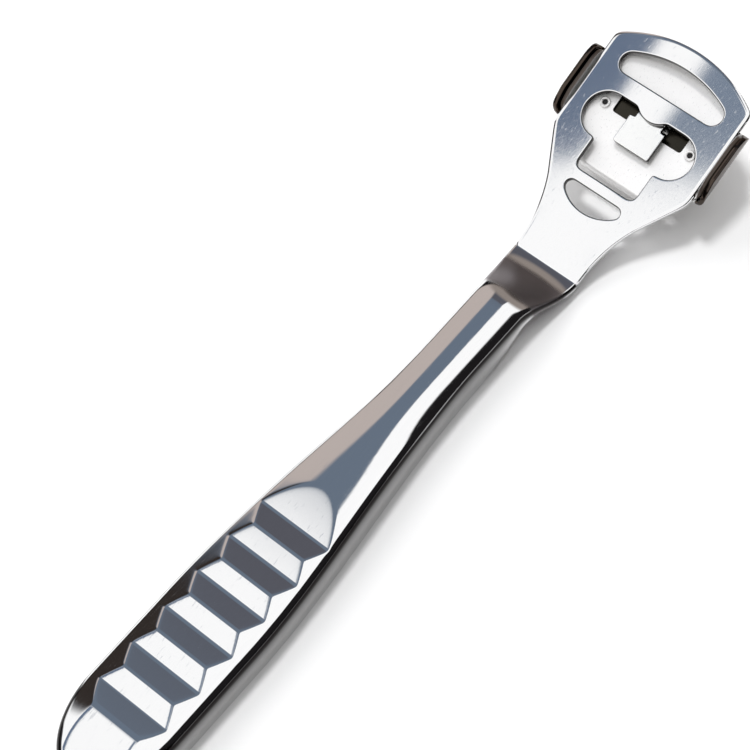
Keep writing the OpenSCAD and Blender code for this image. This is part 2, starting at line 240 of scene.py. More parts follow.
class HandleForm:
    """The handle's sizes in millimetres, with the functions of q that shape it.

    The handle widens over TAPER and its crown flattens over CROWN. It rises from the bend over RAMP, and its
    walls, which start as WALL_FROM, deepen over WALL. The first groove begins FIRST_RUN ahead of its valley,
    and behind the last one the crown falls at the slope REAR_FALL. Up the walls the darkness of a painted
    reflection grows from the first to the second share of WALL_DARK, from WALL_FADE[0] of their height over
    WALL_FADE[1]. On the shoulders it fades from SHOULDER_DARK[0] of their turn over SHOULDER_DARK[1], and
    round the rear end REAR_DARK later.
    """

    TAPER = (26.0, 92.0)
    RAMP = 14.0
    WALL = 28.0
    WALL_FROM = 0.18
    CROWN = (30.0, 64.0)
    FIRST_RUN = 8.4
    REAR_FALL = 0.1
    SHOULDER_SHARE = 0.45
    INNER_RADIUS = 0.15
    GROOVE_EDGE = 0.06
    # Painted reflection: WALL_DARK, WALL_FADE, SHOULDER_DARK and REAR_DARK set the darkness that stands for
    # the dark studio mirrored in the walls, shoulders and rear end.
    WALL_DARK = (0.2, 0.9)
    WALL_FADE = (0.25, 0.7)
    SHOULDER_DARK = (0.45, 0.2)
    REAR_DARK = 0.33

    def __init__(self, handle, head):
        in_millimetres(self, handle, "reach", "grip", "neck", "bend", "height", "bend_height", "end")
        in_millimetres(self, handle, "shoulder", "neck_crown", "grip_crown")
        in_millimetres(self, handle, "pitch", "first", "depth", "sink")
        in_millimetres(self, head, "sheet")
        self.ribs = handle.ribs
        self.end_q = self.reach - self.end
        front = head.reach / MM * math.cos(head.rise) + self.sheet * math.sin(head.rise)
        self.bend_y = (self.reach - front) / 2.0

    def half_width(self, q):
        """Half the width: an eased taper from neck to grip, and an eased flare to the bend."""
        taper = ease((q - self.TAPER[0]) / (self.TAPER[1] - self.TAPER[0]))
        flare = 1.0 - ease(q / self.RAMP)
        return self.neck / 2 + (self.grip - self.neck) / 2 * taper + (self.bend - self.neck) / 2 * flare

    def top(self, q):
        """Height of the crown: the bend's height, eased up over the ramp."""
        return self.bend_height + (self.height - self.bend_height) * ease(q / self.RAMP)

    def rim(self, q):
        """Height of the walls' lower edge, which eases down from the bend to the resting plane."""
        start = self.sheet + self.WALL_FROM
        return self.top(q) - start - (self.height - start) * ease(q / self.WALL)

    def section(self, q):
        """Half width, shoulder radius, crown curvature, and the slope where the two arcs touch.

        The shoulder's radius is at most SHOULDER_SHARE of the section's height. The sine of the slope is the
        distance of the shoulder's centre from the middle over the difference of the two radii.
        """
        w = self.half_width(q)
        r = np.minimum(self.shoulder, (self.top(q) - self.rim(q)) * self.SHOULDER_SHARE)
        grip = ease((q - self.CROWN[0]) / (self.CROWN[1] - self.CROWN[0])) ** 2
        k = ease(q / self.RAMP) / (self.neck_crown + (self.grip_crown - self.neck_crown) * grip)
        return w, r, k, np.arcsin((w - r) * k / (1.0 - r * k))

    def groove(self, q):
        """Depth of the grooves under the crown: straight slopes between sharp valleys and crests."""
        u = (q - self.first) / self.pitch
        valley = self.sink + self.depth
        between = self.sink + self.depth * np.abs(1.0 - 2.0 * (u - np.floor(u)))
        before = valley * (1.0 + u * self.pitch / self.FIRST_RUN)
        last = self.ribs - 0.5
        behind = self.sink + (u - last) * self.pitch * self.REAR_FALL
        return np.where(u < 0.0, before, np.where(u > last, behind, between))

    def skin(self, q, sine, cosine, turn, f, offset):
        """A point of a skin that lies offset under the outer one.

        turn runs from 0 at the upright wall to 1 where the crown begins, and f is the share of the crown's
        half width from the middle. The shoulder is an arc of one radius, the crown an arc of a larger one
        that it runs into without a kink, and the rear end turns the section round. The grooves cut the crown
        from above. INNER_RADIUS is the least radius of the inner shoulder, and GROOVE_EDGE the rounding where
        the grooves begin.
        """
        w, r, k, lean = self.section(q)
        slope = math.pi / 2.0 - (math.pi / 2.0 - lean) * turn
        rr = np.maximum(r - offset, self.INNER_RADIUS)
        edge = w - r + rr * np.sin(lean)
        low = self.top(q) - fall(k, w - r + r * np.sin(lean)) - r * np.cos(lean)
        x = np.where(f < 1.0, edge * f, w - r + rr * np.sin(slope))
        away = edge * np.sqrt((f * sine) ** 2 + cosine**2)
        crown = self.top(q) - offset - fall(k / (1.0 - offset * k), away)
        z = np.where(f < 1.0, crown, low + rr * np.cos(slope))
        behind = q + (self.end - w + np.where(f < 1.0, edge, x)) * cosine
        cut = self.top(q) - self.groove(behind) - offset
        return x * sine, behind, soft_min(z, cut, self.GROOVE_EDGE)


def handle_stations(form):
    """Rows from the rear tip to the bend: place q and the sine and cosine of the turn round the rear end."""
    turn = np.linspace(0.0, 90.0, 41)[:-1]
    ribs = form.first + form.pitch * np.arange(0.0, form.ribs - 0.5 + 1e-6, 1.0 / 22.0)
    ribs = ribs[ribs < form.end_q - 0.05]
    before = np.linspace(form.first - form.FIRST_RUN - 1.6, form.first, 33)[:-1]
    plain = np.linspace(form.RAMP, before[0], 40)[:-1]
    ramp = np.linspace(0.0, form.RAMP, 57)[:-1]
    straight = np.concatenate([ramp, plain, before, ribs, [form.end_q]])[::-1]
    q = np.concatenate([np.full(len(turn), form.end_q), straight])
    t = np.radians(np.concatenate([turn, np.full(len(straight), 90.0)]))
    return q, np.sin(t), np.cos(t)


def handle_shell(form):
    """The trough: an outer and an inner skin, joined along the rims and across the front.

    Each row runs from the right rim over the shoulder and the crown to the left rim. A row's lowest points
    stand at the rim's height, and the rear rows turn about the middle of the rounded end. The darkness, a
    painted reflection, covers the lower part of the shoulders, more of them round the rear end, and fades
    down the walls.
    """
    q, sine, cosine = handle_stations(form)
    walls, arc, flat = 7, 15, 44
    turn = np.concatenate([np.zeros(walls), np.linspace(0.0, 1.0, arc), np.ones(flat)])
    f = np.concatenate([np.ones(walls + arc), np.linspace(1.0, 0.0, flat + 1)[1:]])
    up = np.concatenate([np.linspace(0.0, 1.0, walls + 1)[:-1], np.ones(arc + flat)])
    skins = []
    for offset in (0.0, form.sheet):
        row = (q[:, None], sine[:, None], cosine[:, None])
        x, behind, z = form.skin(*row, turn[None, :], f[None, :], offset)
        rim = form.rim(q)[:, None]
        z = np.where(up[None, :] < 1.0, rim + (z - rim) * up[None, :], z)
        right = np.stack([x, form.bend_y - behind, z], 2)
        left = right[:, -2::-1] * np.array([-1.0, 1.0, 1.0])
        skins.append(np.concatenate([right, left], 1))
    rows, cols = skins[0].shape[:2]
    count = rows * cols
    index = np.arange(count).reshape(rows, cols)
    outer = grid_faces(rows, cols)
    inner = grid_faces(rows, cols, count)[:, ::-1]
    rims = [strip_faces(index[:, 0] + count, index[:, 0]), strip_faces(index[:, -1], index[:, -1] + count)]
    front = strip_faces(index[-1], index[-1] + count)[:, ::-1]
    # Painted reflection: the darkness of the walls, shoulders and rear end stands for the dark studio that
    # they mirror.
    low, high = form.WALL_DARK
    wall = low + (high - low) * ease((up - form.WALL_FADE[0]) / form.WALL_FADE[1])
    reach = form.SHOULDER_DARK[0] + form.REAR_DARK * ease(cosine / 0.3)[:, None]
    side = np.where(up < 1.0, wall, 1.0 - ease((turn - reach) / form.SHOULDER_DARK[1]))
    dark = np.tile(np.concatenate([side, side[:, -2::-1]], 1).ravel(), 2)
    points = np.concatenate([skin.reshape(-1, 3) for skin in skins])
    return points, [outer, inner, *rims, front], dark


# Flat outlines, as closed loops of points.


def arc_points(cx, cy, radius, start, stop, count):
    """Points of an arc about (cx, cy), from one angle to another in degrees."""
    t = np.radians(np.linspace(start, stop, count))
    return np.stack([cx + radius * np.cos(t), cy + radius * np.sin(t)], 1)


def mirrored(half):
    """A closed loop from its right half, which runs from the middle below to the middle above."""
    left = half[-2:0:-1] * np.array([-1.0, 1.0])
    return np.concatenate([half, left])


def resampled(loop, step, rounds=0):
    """The loop with even spacing, its corners eased by averaging each point with its neighbours."""
    closed = np.concatenate([loop, loop[:1]])
    run = np.concatenate([[0.0], np.cumsum(np.hypot(*np.diff(closed, axis=0).T))])
    count = max(12, int(round(run[-1] / step)))
    at = np.linspace(0.0, run[-1], count + 1)[:-1]
    out = np.stack([np.interp(at, run, closed[:, 0]), np.interp(at, run, closed[:, 1])], 1)
    for _ in range(rounds):
        out = (np.roll(out, 1, 0) + 2.0 * out + np.roll(out, -1, 0)) / 4.0
    return out


def rectangle(x0, x1, t0, t1, step=0.3, rounds=2):
    """A rectangle with slightly eased corners."""
    return resampled(np.array([[x0, t0], [x1, t0], [x1, t1], [x0, t1]]), step, rounds)


def counter_clockwise(loop):
    """The loop, turned round if it runs clockwise."""
    x, y = loop[:, 0], loop[:, 1]
    area = (x * np.roll(y, -1) - y * np.roll(x, -1)).sum()
    return loop if area > 0 else loop[::-1]


def inset(loop, distance):
    """The loop moved to its left by a distance: inwards for a counter-clockwise outline."""
    along = np.roll(loop, -1, 0) - np.roll(loop, 1, 0)
    along /= np.hypot(along[:, 0], along[:, 1])[:, None]
    return loop + distance * np.stack([-along[:, 1], along[:, 0]], 1)


def inside(points, loop):
    """Whether each point lies inside the loop: it crosses the loop an odd number of times to its right."""
    x, y = points[:, 0][:, None], points[:, 1][:, None]
    x0, y0 = loop[:, 0][None, :], loop[:, 1][None, :]
    x1, y1 = np.roll(loop[:, 0], -1)[None, :], np.roll(loop[:, 1], -1)[None, :]
    span = np.where(np.abs(y1 - y0) < 1e-12, 1e-12, y1 - y0)
    crossing = ((y0 > y) != (y1 > y)) & (x < (x1 - x0) * (y - y0) / span + x0)
    return crossing.sum(1) % 2 == 1


def clear_of(points, loop, room):
    """Whether each point stays further than room from the loop's points."""
    gap = np.hypot(points[:, 0][:, None] - loop[:, 0][None, :], points[:, 1][:, None] - loop[:, 1][None, :])
    return gap.min(1) > room


def spare_points(edge, pitch):
    """Points of a staggered grid that lie inside an outer loop, outside its holes and clear of them all."""
    flat = np.concatenate(edge)
    lo, hi = flat.min(0), flat.max(0)
    gx, gy = np.meshgrid(np.arange(lo[0], hi[0], pitch), np.arange(lo[1], hi[1], pitch * 0.87))
    gx = gx + (np.arange(len(gx))[:, None] % 2) * pitch / 2
    spare = np.stack([gx.ravel(), gy.ravel()], 1)
    keep = inside(spare, edge[0]) & clear_of(spare, edge[0], pitch * 0.45)
    for hole in edge[1:]:
        keep &= ~inside(spare, hole) & clear_of(spare, hole, pitch * 0.45)
    return spare[keep]


def filled(edge, pitch):
    """The flat between an outer loop and its holes: spare points, and counter-clockwise triangles.

    The triangles are the Delaunay triangles that keep every side of the loops, less those whose middle lies
    outside the outer loop or in a hole. They number the loops' points in order, and then the spare ones.
    """
    spare = spare_points(edge, pitch)
    both = np.concatenate([*edge, spare])
    bars, at = [], 0
    for loop in edge:
        n = len(loop)
        bars += [(at + k, at + (k + 1) % n) for k in range(n)]
        at += n
    made = delaunay_2d_cdt([Vector(p) for p in both], bars, [], 0, 1e-7)
    if len(made[0]) != len(both):
        raise RuntimeError("an inset loop of a sheet crosses itself")
    where = np.array([o[0] for o in made[3]])
    tri = where[np.array([list(t) for t in made[2]])]
    middle = both[tri].mean(1)
    keep = inside(middle, edge[0])
    for hole in edge[1:]:
        keep &= ~inside(middle, hole)
    tri = tri[keep]
    a, b, c = both[tri[:, 0]], both[tri[:, 1]], both[tri[:, 2]]
    turned = (b[:, 0] - a[:, 0]) * (c[:, 1] - a[:, 1]) - (b[:, 1] - a[:, 1]) * (c[:, 0] - a[:, 0]) < 0
    tri[turned] = tri[turned][:, ::-1]
    return spare, tri


def sheet_shell(
    outline, holes, thickness, place, roll=(0.3, 0.15), hole_roll=(0.2, 0.1), pitch=0.9, dark=(0.0, 1.0)
):
    """A sheet cut to an outline with holes, rounded along its upper edges and carried to its place.

    The flat of the sheet is a triangle mesh between inset loops; from each of them rings step down a quarter
    of an ellipse to the cut edge, and a wall joins it to a slightly chamfered lower face. place turns
    (x, t, height) into a point in space, and the height runs from 0 at the upper face to minus the thickness.
    dark gives the darkness of the painted shade on the cut edge along the outline and along the holes, where
    it reaches a little way up the rounding.
    """
    loops = [(outline, 1.0, roll)] + [(hole, -1.0, hole_roll) for hole in holes]
    steps = np.array([0.0, 0.15, 0.4, 0.7, 1.0])
    rest, chamfer = 0.09, 0.12
    points, heights, darks, faces, cores, base = [], [], [], [], [], 0
    for shape, turn, (wide, deep) in loops:
        loop = counter_clockwise(shape)
        n = len(loop)
        low = min(deep, chamfer)
        rings = [inset(loop, turn * low), loop]
        rings += [inset(loop, turn * wide * s) for s in steps]
        rings.append(inset(loop, turn * (wide + rest)))
        levels = [-thickness, low - thickness]
        levels += [-deep * (1.0 - math.sqrt(1.0 - (1.0 - s) ** 2)) for s in steps]
        levels.append(0.0)
        numbers = [base + k * n + np.arange(n) for k in range(len(rings))]
        for lower, upper in zip(numbers, numbers[1:]):
            strip = ring_faces(lower, upper)
            faces.append(strip if turn > 0 else strip[:, ::-1])
        # Painted shade on the cut edge, reaching further up the rounding at the holes.
        shade, reach = (dark[0], 3) if turn > 0 else (dark[1], 5)
        points.extend(rings)
        heights.extend(np.full(n, z) for z in levels)
        darks.extend(np.full(n, shade if k < reach else 0.0) for k in range(len(rings)))
        cores.append((numbers[0], numbers[-1], rings[0], rings[-1]))
        base += n * len(rings)
    for side, height in ((1, 0.0), (0, -thickness)):
        spare, triangles = filled([core[side + 2] for core in cores], pitch)
        names = np.concatenate([core[side] for core in cores] + [base + np.arange(len(spare))])
        faces.append(names[triangles] if side == 1 else names[triangles][:, ::-1])
        points.append(spare)
        heights.append(np.full(len(spare), height))
        darks.append(np.zeros(len(spare)))
        base += len(spare)
    flat = np.concatenate(points)
    return place(flat[:, 0], flat[:, 1], np.concatenate(heights)), faces, np.concatenate(darks)


# Head plate. Every length runs from the bend, along the plate.


class HeadForm:
    """The head's sizes in millimetres, and its place on the handle.

    SHOULDER gives the points of the sloped shoulder by their distance inside the straight side and their t.
    FRONT_WINDOW is the front window's distance from the front edge, that of its straight edge, and the
    radius of its ends. REAR_WINDOW is the rear window's radius, centre, straight edge and ends' radius.
    """

    NOSE_RADIUS = 28.0
    NOSE_FILLET = 2.0
    FLANK_RADIUS = 29.6
    FLANK_CENTRE = 1.0
    FLANK_START = 3.0
    FLANK_END = 14.2
    SHOULDER = ((0.9, 21.7), (0.25, 23.0), (0.0, 24.2))
    FRONT_WINDOW = (4.1, 10.6, 2.2)
    REAR_WINDOW = (8.8, 20.4, 15.9, 1.2)
    LAP = 1.3
    BOW_RUN = 9.0

    def __init__(self, head, form):
        in_millimetres(self, head, "width", "reach", "sheet", "slot")
        in_millimetres(self, head, "lobe_span", "lobe_radius", "roll", "bow")
        self.rise = head.rise
        self.bend = form.bend
        self.bend_y = form.bend_y
        self.bend_height = form.bend_height

    def place(self, x, t, height):
        """A point of the head's own frame, moved to its place: turned up by the rise and set on the bend."""
        c, s = math.cos(self.rise), math.sin(self.rise)
        return np.stack([x, self.bend_y + t * c - height * s, self.bend_height + t * s + height * c], 1)

    def raised(self, level, x, t, height):
        """A point of the head's own frame, lifted by a level."""
        return self.place(x, t, height + level)

    def bowed(self, x, t, height):
        """The plate's own place: from BOW_RUN on, its sides fall away as a shallow arch."""
        amount = ease(t / self.BOW_RUN)
        return self.place(x, t, height - amount * x * x / (2.0 * self.bow))

    def outline(self):
        """The plate's edge: neck, hollow flanks, shoulders, straight sides, corners and one front arc."""
        w = self.width / 2
        flank_x = self.bend / 2 + self.FLANK_RADIUS
        t = np.linspace(self.FLANK_START, self.FLANK_END, 14)
        flank = np.stack([flank_x - np.sqrt(self.FLANK_RADIUS**2 - (t - self.FLANK_CENTRE) ** 2), t], 1)
        start = np.array([[0.0, -self.LAP], [self.bend / 2 - 1.5, -self.LAP], [self.bend / 2 - 0.04, 0.1]])
        shoulder = np.array([[w - inner, t] for inner, t in self.SHOULDER])
        fx = w - self.NOSE_FILLET
        nose = self.reach - self.NOSE_RADIUS
        ft = nose + math.sqrt((self.NOSE_RADIUS - self.NOSE_FILLET) ** 2 - fx * fx)
        turn = math.degrees(math.atan2(ft - nose, fx))
        corner = arc_points(fx, ft, self.NOSE_FILLET, 0.0, turn, 8)
        front = arc_points(0.0, nose, self.NOSE_RADIUS, turn, 90.0, 40)[1:]
        return resampled(mirrored(np.concatenate([start, flank, shoulder, corner, front])), 0.4, 1)

    def bow_window(self, radius, centre, flat_t, end):
        """A window with one straight edge, one arched edge and rounded ends."""
        out = 1.0 if flat_t > centre else -1.0
        ct = flat_t + out * end
        cx = math.sqrt((radius - end) ** 2 - (ct - centre) ** 2)
        lean = math.degrees(math.atan2(out * (ct - centre), cx))
        near = arc_points(cx, ct * out, end, -90.0, lean, 12)
        far = arc_points(0.0, centre * out, radius, lean, 90.0, 30)[1:]
        half = np.concatenate([[[0.0, flat_t * out]], near, far]) * np.array([1.0, out])
        loop = mirrored(half if out > 0 else half[::-1])
        return resampled(loop, 0.35, 1)

    def key_window(self):
        """The key-shaped window: a slot behind, two lobes in front and a bump between the lobes."""
        r, w = self.lobe_radius, self.slot / 2
        lobe_x, lobe_t = self.lobe_span / 2 - r, 29.05
        rear, fillet = 18.1, 1.3
        bump, bump_t = 4.35, 36.45
        dip = bump_t - lobe_t - r
        meet = math.degrees(math.asin(dip / bump))
        half = np.concatenate([
            [[0.0, rear]],
            arc_points(w - fillet, rear + fillet, fillet, -90.0, 0.0, 8),
            [[w, lobe_t - r]],
            arc_points(lobe_x, lobe_t, r, -90.0, 90.0, 30),
            arc_points(0.0, bump_t, bump, -meet, -90.0, 12),
        ])
        return resampled(mirrored(half), 0.35, 3)


# Stack. Heights are measured from the head plate's upper face.


class StackForm:
    """The stack's sizes in millimetres, and the path that its layers follow across the head.

    CENTRE is the stack's middle along the head. FLAP is the holder's front flap by half width, end and cut
    corners, and TAB_END is the end and the cut of its rear tab. CROSS_HOLE is the holder's hole from side to
    side and from rear to front, EYELET the place of its right eyelet, RIM the eyelet's section by radius and
    height, and HOOK_HOLE the blade's hole from rear to front. HOOK_PATH is where the hook's foot starts, the
    centre of its bend and the bend's radius. MOUTH is the sole's slot by half width, distance from the rear
    edge and width. FRONT_CUT and REAR_CUT are the cuts of the corners, across and along.
    """

    CENTRE = 32.2
    END_RADIUS = 1.2
    FLAP = (13.2, 45.2, 2.6)
    TAB_END = (19.3, 1.4)
    CROSS_HOLE = (-7.8, 7.8, 30.8, 34.8)
    EYELET = (9.8, 31.3)
    RIM = ((1.05, -0.3), (1.05, 0.32), (0.98, 0.45), (0.84, 0.5), (0.66, 0.44), (0.55, 0.3), (0.55, -0.3))
    HOOK_HOLE = (32.1, 34.3)
    HOOK_PATH = (26.0, 32.6, 1.3)
    MOUTH = (13.0, 2.6, 2.2)
    FRONT_CUT = (2.2, 2.9)
    REAR_CUT = (2.4, 4.4)

    def __init__(self, stack, head):
        in_millimetres(self, stack, "arch", "reach", "lip", "holder", "blade", "sole", "hook")
        self.tab = (head.slot / 2 + stack.tab_lap / MM, *self.TAB_END)
        self.head = head
        gap = stack.lip_gap / MM
        r = self.END_RADIUS
        self.end_x = head.width / 2 - r + gap
        self.end_z = math.sqrt(r * r - (r - gap) ** 2) - head.sheet - 0.02
        self.turn = math.asin(self.end_x / (self.arch - r))
        self.arch_c = self.end_z + (self.arch - r) * math.cos(self.turn)
        self.s1 = self.arch * self.turn
        self.s2 = self.s1 + r * (math.pi / 2 - self.turn)
        self.depth = self.arch - self.arch_c

    def layer(self, under):
        """The place of a point of a layer: s along the holder's upper face, t along the head.

        The path is an arch that hangs in the middle, a tight turn at each end and an upright lip; the height
        is taken square to the path.
        """

        def place(s, t, height):
            h, r = under - height, self.END_RADIUS
            side, s = np.sign(s), np.abs(s)
            p = s / self.arch
            x1, z1 = (self.arch + h) * np.sin(p), self.arch_c - (self.arch + h) * np.cos(p)
            p = np.clip(self.turn + (s - self.s1) / r, 0.0, math.pi / 2)
            x2, z2 = self.end_x + (r + h) * np.sin(p), self.end_z - (r + h) * np.cos(p)
            x3, z3 = self.end_x + r + h, self.end_z + (s - self.s2)
            x = np.where(s < self.s1, x1, np.where(s < self.s2, x2, x3))
            z = np.where(s < self.s1, z1, np.where(s < self.s2, z2, z3))
            return self.head.place(side * x, t, z)

        return place

    def outline(self, lip, shorter, cut_front, cut_rear, tabs=()):
        """A layer's flat outline: a long rectangle whose four corners are cut, the rear ones longer.

        tabs adds a tab in front and one behind, by half width, where each ends and its corners' cut.
        """
        half = self.s2 + lip - self.end_z
        t0, t1 = self.CENTRE - (self.reach - shorter) / 2, self.CENTRE + (self.reach - shorter) / 2
        right = np.array([
            [half - cut_rear[0], t0],
            [half - cut_rear[0] * 0.35, t0 + cut_rear[1] * 0.45],
            [half, t0 + cut_rear[1]],
            [half, t1 - cut_front[1]],
            [half - cut_front[0] * 0.3, t1 - cut_front[1] * 0.35],
            [half - cut_front[0], t1],
        ])
        front, rear = [[0.0, t1]], [[0.0, t0]]
        if tabs:
            wide, end, cut = tabs[0]
            front = [[wide, t1], [wide, end - cut], [wide - cut, end], [0.0, end]]
            wide, end, cut = tabs[1]
            rear = [[0.0, end], [wide - cut, end], [wide, end + cut], [wide, t0]]
        return resampled(mirrored(np.concatenate([rear, right, front])), 0.35, 2)

    def turned_down(self, s, t, height):
        """The holder's own place: its layer, with the end of the rear tab turned down along an arc."""
        drop = np.maximum(self.tab[1] + 0.9 - t, 0.0)
        return self.layer(0.0)(s, t, height - drop * drop * 0.9)


def along_path(path, head):
    """Carries a strip along a path of (t, height) points: its own length runs along the path.

    The path is read as a smooth line by its running length, and the thickness is taken square to it.
    """
    path = np.asarray(path, float)
    run = np.concatenate([[0.0], np.cumsum(np.hypot(*np.diff(path, axis=0).T))])

    def place(x, s, height):
        t, z = np.interp(s, run, path[:, 0]), np.interp(s, run, path[:, 1])
        step = 0.15
        dt = np.interp(s + step, run, path[:, 0]) - np.interp(s - step, run, path[:, 0])
        dz = np.interp(s + step, run, path[:, 1]) - np.interp(s - step, run, path[:, 1])
        size = np.hypot(dt, dz)
        return head.place(x, t - height * dz / size, z + height * dt / size)

    return place, run[-1]


def revolved(profile, centre, head, turns=48):
    """A closed ring: a closed profile of (radius, height) points turned about an upright axis on the head."""
    profile = np.asarray(profile, float)
    t = np.linspace(0.0, 2.0 * math.pi, turns, endpoint=False)
    x = centre[0] + profile[None, :, 0] * np.cos(t)[:, None]
    y = centre[1] + profile[None, :, 0] * np.sin(t)[:, None]
    z = np.broadcast_to(profile[None, :, 1], x.shape)
    n, m = x.shape
    index = np.arange(n * m).reshape(n, m)
    faces = np.concatenate([ring_faces(index[k], index[(k + 1) % n]) for k in range(n)])
    return head.place(x.ravel(), y.ravel(), z.ravel()), [faces], 0.0


# Steel. Places and fades are in millimetres, DULL_AND_PAINTED_RAMP along the part from the bend. Heights are in metres.

# Painted shade and reflection: the colour that the stored darkness blends in, shade on cut edges and the dark
# studio mirrored on the handle's shoulders and walls.
PAINTED_SHADE_AND_REFLECTION = (0.015, 0.013, 0.013)
# Painted reflection: the colour of the holder's and sole's upturned ends beyond DARK_FROM, where they mirror
# the dark studio.
PAINTED_END_REFLECTION = (0.068, 0.052, 0.042)
DARK_FROM = 15.6
END_REFLECTION_FADE = 0.15
# Painted reflection: the ramp behind the bend is darkened by PAINTED_REFLECTION_TINT between the
# DULL_AND_PAINTED_RAMP places, for the dark front that it mirrors; DULL_BLUR only roughens it.
PAINTED_REFLECTION_TINT = (0.37, 0.34, 0.35)
DULL_AND_PAINTED_RAMP = (-11.4, -2.4)
DULL_AND_PAINTED_FADE = 1.4
DULL_BLUR = 0.3
MARK_HEIGHT = 0.0000022
WAVE_HEIGHT = 0.00001


def feed(tree, socket, value):
    """Links another node's socket to an input, or gives the input a value of its own."""
    if isinstance(value, bpy.types.NodeSocket):
        tree.links.new(value, socket)
    else:
        socket.default_value = value


def new_node(tree, kind, **values):
    """A shader node with its settings and inputs, set down beside the nodes made before it."""
    node = tree.nodes.new(kind)
    rank = len(tree.nodes) - 1
    node.location = (rank % 8 * 200.0, rank // 8 * -320.0)
    for key, value in values.items():
        if hasattr(node, key):
            setattr(node, key, value)
        else:
            feed(tree, node.inputs[key.replace("_", " ")], value)
    return node


def maths(tree, operation, *values):
    """The result of an operation on sockets and plain numbers."""
    node = new_node(tree, "ShaderNodeMath", operation=operation)
    for socket, value in zip(node.inputs, values):
        feed(tree, socket, value)
    return node.outputs["Value"]


def product(tree, *masks):
    """Where all the masks are 1."""
    return functools.reduce(functools.partial(maths, tree, "MULTIPLY"), masks)


def smooth_step(tree, value, low, high):
    """A smooth step from 0 at low to 1 at high. Where low is the larger, the step falls."""
    falls = low > high
    node = new_node(
        tree,
        "ShaderNodeMapRange",
        interpolation_type="SMOOTHSTEP",
        Value=value,
        From_Min=min(low, high),
        From_Max=max(low, high),
        To_Min=1.0 if falls else 0.0,
        To_Max=0.0 if falls else 1.0,
    )
    return node.outputs["Result"]


def mixed(tree, base, mask, tone, blend_type="MIX"):
    """base, blended with the tone where the mask is 1. base is a colour or a socket."""
    first = (*base, 1.0) if isinstance(base, tuple) else base
    second = (*tone, 1.0)
    node = new_node(tree, "ShaderNodeMixRGB", blend_type=blend_type, Fac=mask, Color1=first, Color2=second)
    return node.outputs["Color"]


def streaks(tree, where, turn, along, across, detail, rough):
    """A noise drawn out along one direction, by its marks per metre along and across."""
    turned = new_node(
        tree, "ShaderNodeMapping", Vector=where, Rotation=(0.0, 0.0, turn), Scale=(across, along, across)
    ).outputs["Vector"]
    noise = new_node(tree, "ShaderNodeTexNoise", Vector=turned, Scale=1.0, Detail=detail, Roughness=rough)
    return noise.outputs["Fac"]


def steel(
    name, tint, roughness, brush, turn, wave=0.0, relief=1.0, spread=0.06, dark_from=0.0, dull_and_painted=None, metal=1.0
):
    """Steel with fine brush marks along one direction, sparse scratches and a slight unevenness.

    brush gives the marks per metre along and across. The marks and the scratches shape a fine relief and
    vary the roughness by spread, and wave is the height in metres of the soft waves that polishing leaves.
    Beyond dark_from millimetres from the middle, the steel's colour is darkened as a painted reflection of
    the dark studio in the upturned ends. dull gives two places along the part, in millimetres, between which
    the polish is softer and its colour is darkened as a painted reflection.
    """
    material = bpy.data.materials.new(name)
    material.use_nodes = True
    tree = material.node_tree
    tree.nodes.clear()
    where = new_node(tree, "ShaderNodeTexCoord").outputs["Object"]
    along, across = brush
    marks = streaks(tree, where, turn, along, across, 3.0, 0.6)
    nicks = streaks(tree, where, turn + 0.9, along * 0.8, across * 0.5, 2.0, 0.5)
    sparse = new_node(tree, "ShaderNodeMapRange", Value=nicks, From_Min=0.62, From_Max=0.8).outputs["Result"]
    height = maths(tree, "ADD", marks, sparse)
    rough = new_node(
        tree,
        "ShaderNodeMapRange",
        Value=height,
        From_Min=0.3,
        From_Max=1.2,
        To_Min=max(roughness - spread * 0.5, 0.02),
        To_Max=roughness + spread,
    ).outputs["Result"]
    tone = mixed(tree, tuple(c * 0.94 for c in tint), marks, tint)

    if dull_and_painted:
        start, stop = dull_and_painted
        lengthwise = new_node(tree, "ShaderNodeSeparateXYZ", Vector=where).outputs["Y"]
        zone = product(
            tree,
            smooth_step(tree, lengthwise, start * MM, (start + DULL_AND_PAINTED_FADE) * MM),
            smooth_step(tree, lengthwise, stop * MM, (stop - DULL_AND_PAINTED_FADE) * MM),
        )
        rough = maths(tree, "MULTIPLY_ADD", zone, DULL_BLUR, rough)
        # Painted reflection: the zone's colour is darkened for the dark front that it mirrors.
        tone = mixed(tree, tone, zone, PAINTED_REFLECTION_TINT, "MULTIPLY")
    # Painted shade on cut edges and painted reflection on the handle, from the stored darkness.
    stored = new_node(tree, "ShaderNodeAttribute", attribute_name="dark").outputs["Fac"]
    tone = mixed(tree, tone, stored, PAINTED_SHADE_AND_REFLECTION)
    # Painted reflection: the upturned ends beyond dark_from are darkened.
    if dark_from > 0.0:
        far = maths(tree, "ABSOLUTE", new_node(tree, "ShaderNodeSeparateXYZ", Vector=where).outputs["X"])
        ends = smooth_step(tree, far, (dark_from - END_REFLECTION_FADE) * MM, (dark_from + END_REFLECTION_FADE) * MM)
        tone = mixed(tree, tone, ends, PAINTED_END_REFLECTION)

    fine = new_node(tree, "ShaderNodeBump", Strength=0.5, Distance=MARK_HEIGHT * relief, Height=height)
    if wave > 0.0:
        waves = new_node(tree, "ShaderNodeTexNoise", Vector=where, Scale=90.0, Detail=1.0).outputs["Fac"]
        soft = new_node(tree, "ShaderNodeBump", Strength=1.0, Distance=wave, Height=waves)
        feed(tree, fine.inputs["Normal"], soft.outputs["Normal"])
    normal = fine.outputs["Normal"]
    shader = new_node(
        tree, "ShaderNodeBsdfPrincipled", Metallic=metal, Base_Color=tone, Roughness=rough, Normal=normal
    )
    new_node(tree, "ShaderNodeOutputMaterial", Surface=shader.outputs["BSDF"])
    return material


# Steps. Each builds one piece from the sizes on the scene.


